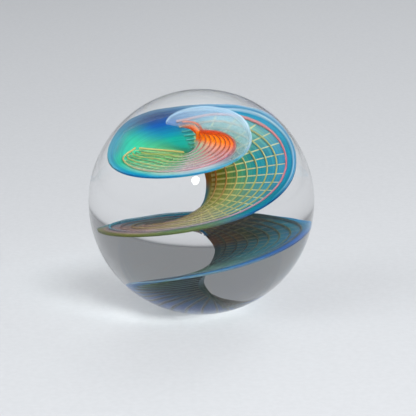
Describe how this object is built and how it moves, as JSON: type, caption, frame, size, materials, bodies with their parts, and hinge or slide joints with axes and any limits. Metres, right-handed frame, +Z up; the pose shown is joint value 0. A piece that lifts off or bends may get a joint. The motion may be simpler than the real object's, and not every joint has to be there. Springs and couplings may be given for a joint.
{
  "type": "glass marble",
  "caption": "Clear glass ball with a fumed, threaded glass ribbon spiralling up inside it, a decorative marble to hold, roll or set in a cradle",
  "frame": {"origin": "centre of the ball", "axes": "+Z up as the marble is set down for viewing, -Y towards the viewer, +X to the viewer's right; the spiral's axis leans seven degrees from +Z towards -X"},
  "size_m": [0.045, 0.045, 0.045],
  "materials": {
    "clear_glass": "clear borosilicate glass, flame polished, without any tint or scratches",
    "fumed_glass": "thin glass sheet fumed with silver and gold: teal and blue by reflected light, amber and olive by transmitted light",
    "cream_thread": "fine drawn cream-yellow glass thread, smooth",
    "salmon_thread": "very fine drawn salmon-pink glass thread, smooth",
    "edge_thread": "thicker drawn salmon-red glass thread, smooth"
  },
  "bodies": {
    "root": {"clear_casing": "clear_glass", "fumed_ribbon": "fumed_glass", "long_threads": "cream_thread", "cross_threads": "salmon_thread", "edge_thread": "edge_thread"}
  },
  "joints": []
}
